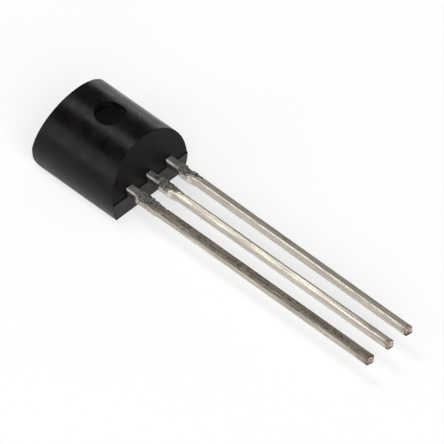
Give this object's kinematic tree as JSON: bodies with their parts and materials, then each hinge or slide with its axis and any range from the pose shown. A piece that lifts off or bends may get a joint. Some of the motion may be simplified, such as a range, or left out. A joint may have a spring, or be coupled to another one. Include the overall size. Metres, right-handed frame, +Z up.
{
  "type": "voltage reference chip",
  "caption": "Small moulded through-hole voltage reference: a black D-shaped epoxy body with a row of straight flat leads",
  "frame": {"origin": "middle of the flat face, half way along the body and on the centre lead's plane; the part lies on that face", "axes": "X runs across the three leads, the leads point along -Y from the body, Z is up through the rounded side"},
  "size_m": [0.0048, 0.0197, 0.0035],
  "materials": {
    "epoxy": "black filled moulding epoxy, fine satin mould texture, slightly shinier ejector-pin recess",
    "tinned_lead": "satin tin plate on stamped copper alloy, faintly streaked along the lead, rough where the tie bar was sheared",
    "silver_epoxy": "dull silver-filled die-attach epoxy",
    "silicon": "polished silicon with a faint blue-grey circuit side",
    "gold_wire": "smooth bright gold bond wire"
  },
  "bodies": {
    "root": {"body": "epoxy", "lead_1": "tinned_lead", "lead_2": "tinned_lead", "lead_3": "tinned_lead", "die_attach": "silver_epoxy", "die": "silicon", "bond_wire_1": "gold_wire", "bond_wire_2": "gold_wire", "bond_wire_3": "gold_wire"}
  },
  "joints": []
}
